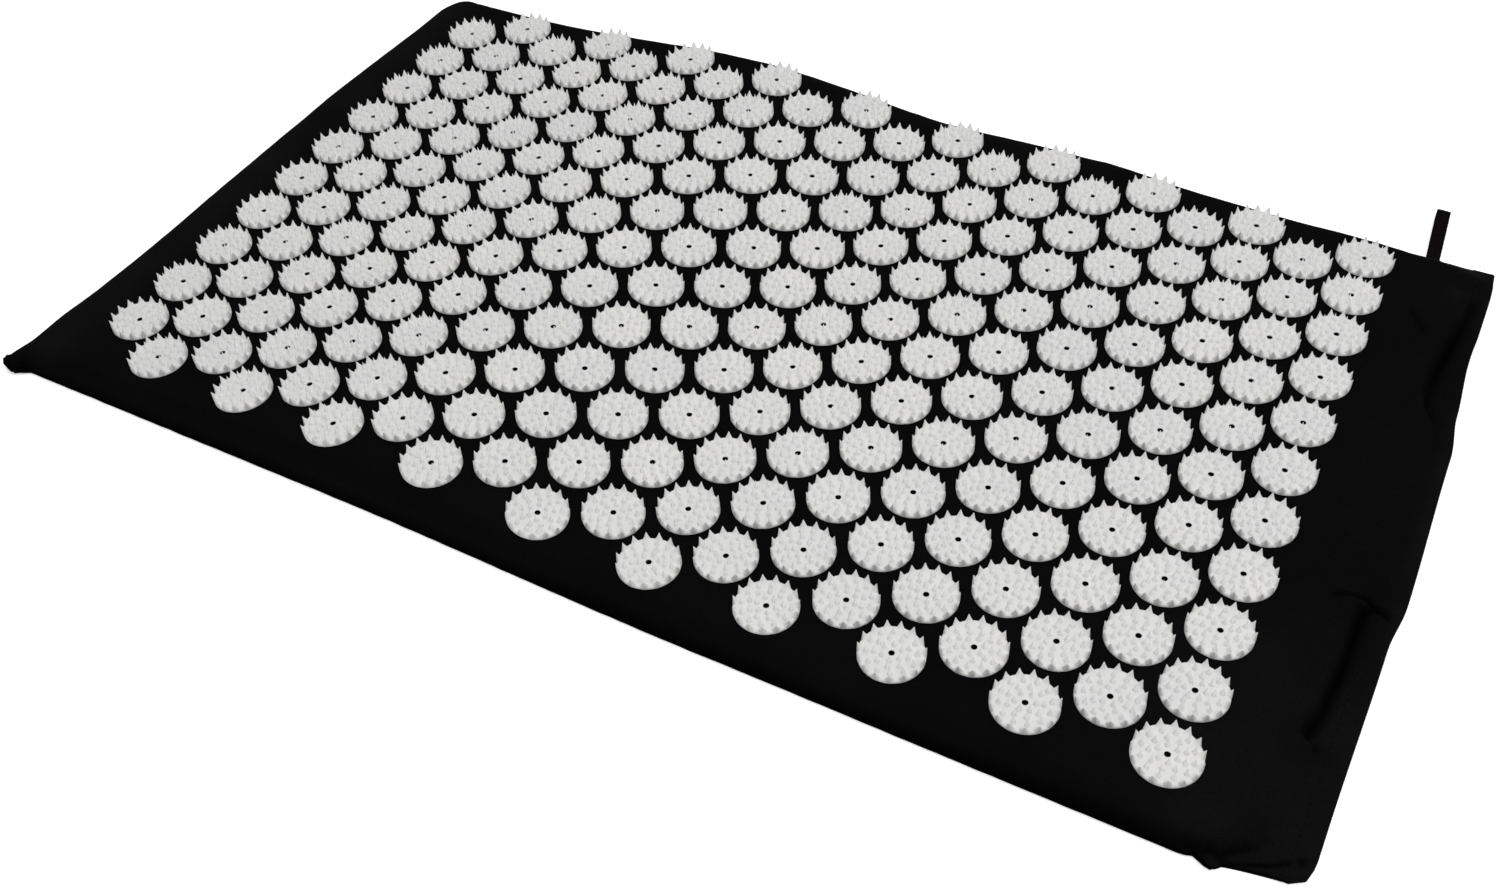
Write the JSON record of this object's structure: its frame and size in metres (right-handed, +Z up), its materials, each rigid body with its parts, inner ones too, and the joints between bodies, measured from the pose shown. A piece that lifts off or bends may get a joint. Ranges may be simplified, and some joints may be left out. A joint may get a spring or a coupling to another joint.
{
  "type": "acupressure mat",
  "caption": "Flat foam mat in a black cotton cover whose top carries a close lattice of white spiked plastic discs, with a hook-and-loop mouth and a hanging loop.",
  "frame": {"origin": "middle of the cover's flat underside, on the surface that the mat lies on", "axes": "+X along the mat towards the mouth of the cover, +Y towards the long edge with the hanging loop, +Z up through the discs"},
  "size_m": [0.74, 0.4863, 0.0336],
  "materials": {
    "cotton": "matte plain weave",
    "tape": "ribbed woven tape",
    "nylon": "hook-and-loop tape",
    "plastic": "satin moulded",
    "foam": "soft open-cell foam"
  },
  "bodies": {
    "mat": {"foam_core": "foam", "cover_bottom_panel": "cotton", "cover_top_panel": "cotton", "lip_hem": "cotton", "loop_pad_front": "nylon", "loop_pad_back": "nylon", "disc_column_1_row_01": "plastic", "disc_column_1_row_02": "plastic", "disc_column_1_row_03": "plastic", "disc_column_1_row_04": "plastic", "disc_column_1_row_05": "plastic", "disc_column_1_row_06": "plastic", "disc_column_1_row_07": "plastic", "disc_column_1_row_08": "plastic", "disc_column_1_row_09": "plastic", "disc_column_1_row_10": "plastic", "disc_column_1_row_11": "plastic", "disc_column_2_row_01": "plastic", "disc_column_2_row_02": "plastic", "disc_column_2_row_03": "plastic", "disc_column_2_row_04": "plastic", "disc_column_2_row_05": "plastic", "disc_column_2_row_06": "plastic", "disc_column_2_row_07": "plastic", "disc_column_2_row_08": "plastic", "disc_column_2_row_09": "plastic", "disc_column_2_row_10": "plastic", "disc_column_3_row_01": "plastic", "disc_column_3_row_02": "plastic", "disc_column_3_row_03": "plastic", "disc_column_3_row_04": "plastic", "disc_column_3_row_05": "plastic", "disc_column_3_row_06": "plastic", "disc_column_3_row_07": "plastic", "disc_column_3_row_08": "plastic", "disc_column_3_row_09": "plastic", "disc_column_3_row_10": "plastic", "disc_column_3_row_11": "plastic"},
    "flap": {"end_flap": "cotton", "flap_hem": "cotton", "hook_pad_front": "nylon", "hook_pad_back": "nylon"},
    "loop": {"hanging_loop": "tape"}
  },
  "joints": [
    {"name": "flap_fold", "type": "hinge", "parent": "mat", "child": "flap", "pos_m": [0.3323, 0, 0.0176], "axis": [0, -1, 0], "range_deg": [0, 100]},
    {"name": "loop_fold", "type": "hinge", "parent": "mat", "child": "loop", "pos_m": [0.3277, 0.2203, 0.0024], "axis": [1, 0, 0], "range_deg": [0, 90]}
  ]
}
